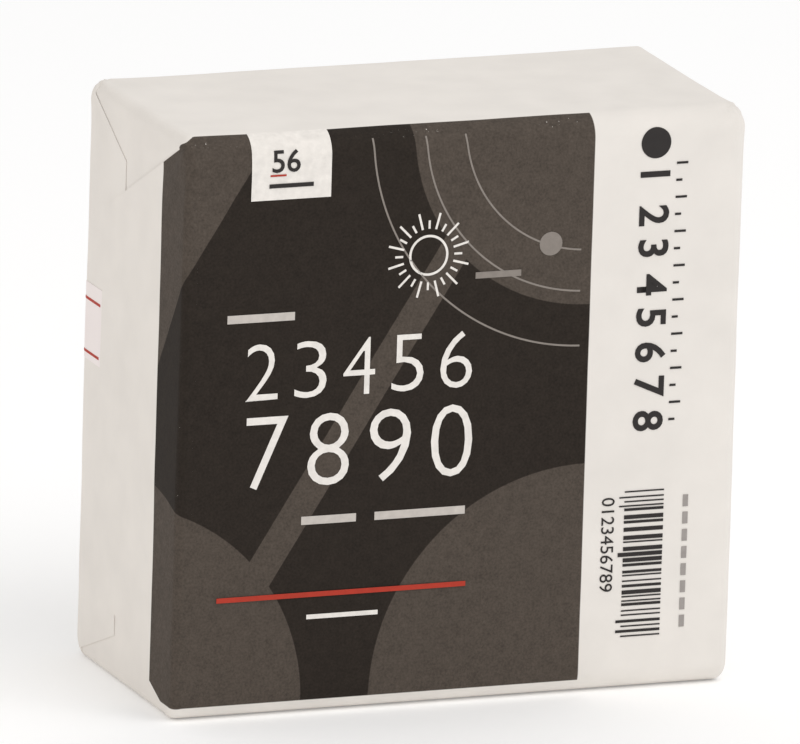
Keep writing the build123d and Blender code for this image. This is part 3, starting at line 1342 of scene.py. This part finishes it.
# %% Films on the back flaps
film_proud, film_thick = 0.015 * MM, 0.012 * MM
for end, side in (("left", left_end), ("right", right_end)):
    glue_low, glue_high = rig.box(f"{end}_end_glue")
    glue_box = (glue_low.y, glue_high.y, glue_low.z, glue_high.z)
    film = end_patch(f"{end}_glue", side, glue_box, film_proud, film_thick, adhesive, "adhesive")
    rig.replaces(film, f"{end}_end_glue")
    print(end, "film height:", round(glue_high.z - glue_low.z, 4))

# %% [markdown]
# ## Stage, light and camera
#
# A pale floor, one broad soft light high in front, a weak warm fill from the left
# and a camera far off with a long lens, a little above the block and to its left.
# A small hard light would draw sharp shadows across the folds; a broad one shows
# them as gentle changes of tone.

# %% Floor
floor_reach = 1.6
floor_glow = 0.09  # lifts its white to that of the surroundings
floor_corners = [(x * floor_reach, y * floor_reach, 0) for x, y in ((-1, -1), (1, -1), (1, 1), (-1, 1))]
floor = bpy.data.meshes.new("floor")
floor.from_pydata(floor_corners, [], [(0, 1, 2, 3)])
floor_object = bpy.data.objects.new("floor", floor)
bpy.context.scene.collection.objects.link(floor_object)
floor_material = bpy.data.materials.new("floor")
floor_material.use_nodes = True
floor_shader = floor_material.node_tree.nodes["Principled BSDF"]
floor_shader.inputs["Base Color"].default_value = linear(254, 254, 254)
floor_shader.inputs["Roughness"].default_value = 0.9
floor_shader.inputs["Emission Color"].default_value = (1.0, 1.0, 1.0, 1.0)
floor_shader.inputs["Emission Strength"].default_value = floor_glow
floor.materials.append(floor_material)
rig.stage(floor_object)
print("floor:", 2 * floor_reach, "m across")

# %% Light
sky_strength = 0.74
bpy.context.scene.view_settings.view_transform = "Standard"
world = bpy.data.worlds.new("studio")
bpy.context.scene.world = world
world.use_nodes = True
world.node_tree.nodes["Background"].inputs[0].default_value = (1.0, 1.0, 1.0, 1)
world.node_tree.nodes["Background"].inputs[1].default_value = sky_strength
middle = Vector((0, 0, height / 2))


def soft_light(name, place, size, power, colour):
    """A square area light that faces the middle of the block."""
    light = bpy.data.lights.new(name, "AREA")
    light.size = size
    light.energy = power
    light.color = colour
    lamp = bpy.data.objects.new(name, light)
    lamp.location = place
    lamp.rotation_euler = (middle - Vector(place)).to_track_quat("-Z", "Y").to_euler()
    bpy.context.scene.collection.objects.link(lamp)
    return lamp


soft_light("key", place=(0.3, -0.55, 0.95), size=0.7, power=3.6, colour=(1.0, 0.99, 0.98))
soft_light("fill", place=(-0.85, -0.25, 0.35), size=0.6, power=0.5, colour=(1.0, 0.78, 0.56))
print("lights:", [lamp.name for lamp in bpy.data.lights])

# %% Camera
view_side, view_height, view_roll = np.radians([-21.6, 14.4, 1.75])
view_distance = 34.48 * height
focal_widths = 20516 / 800  # focal length as a multiple of the sensor's width
aim_right, aim_up = -0.0142 * height, 0.0134 * height

backwards = Vector((
    np.sin(view_side) * np.cos(view_height),
    -np.cos(view_side) * np.cos(view_height),
    np.sin(view_height),
))
level = Vector((0, 0, 1)).cross(backwards).normalized()
upright = backwards.cross(level)
aim = middle + level * aim_right + upright * aim_up
rolled_right = level * np.cos(view_roll) + upright * np.sin(view_roll)
rolled_up = upright * np.cos(view_roll) - level * np.sin(view_roll)

camera_data = bpy.data.cameras.new("camera")
camera_data.sensor_width = 36.0
camera_data.lens = focal_widths * camera_data.sensor_width
camera_data.clip_end = 10
camera = bpy.data.objects.new("camera", camera_data)
turn = Matrix((rolled_right, rolled_up, backwards)).transposed()
camera.matrix_world = Matrix.Translation(aim + backwards * view_distance) @ turn.to_4x4()
bpy.context.scene.collection.objects.link(camera)
bpy.context.scene.camera = camera
print(f"camera {view_distance:.2f} m off, lens {camera_data.lens:.0f} mm")

# %% [markdown]
# ## The outside sizes
#
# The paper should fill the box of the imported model: its waves may stand out a few
# tenths of a millimetre, and nothing may lie below the floor. Both boxes are
# written down, so that they can be compared.

# %% Write both boxes and finish
look_low, look_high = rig.bounds()
grown = max(*(look_high - cad_high), *(cad_low - look_low))
print(f"stands out of the CAD box by {grown / MM:.2f} mm at most; lowest point {look_low.z:.5f}")
with open("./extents.json", "w") as out:
    json.dump(
        {"cad": [list(cad_low), list(cad_high)], "visual": [list(look_low), list(look_high)]}, out
    )
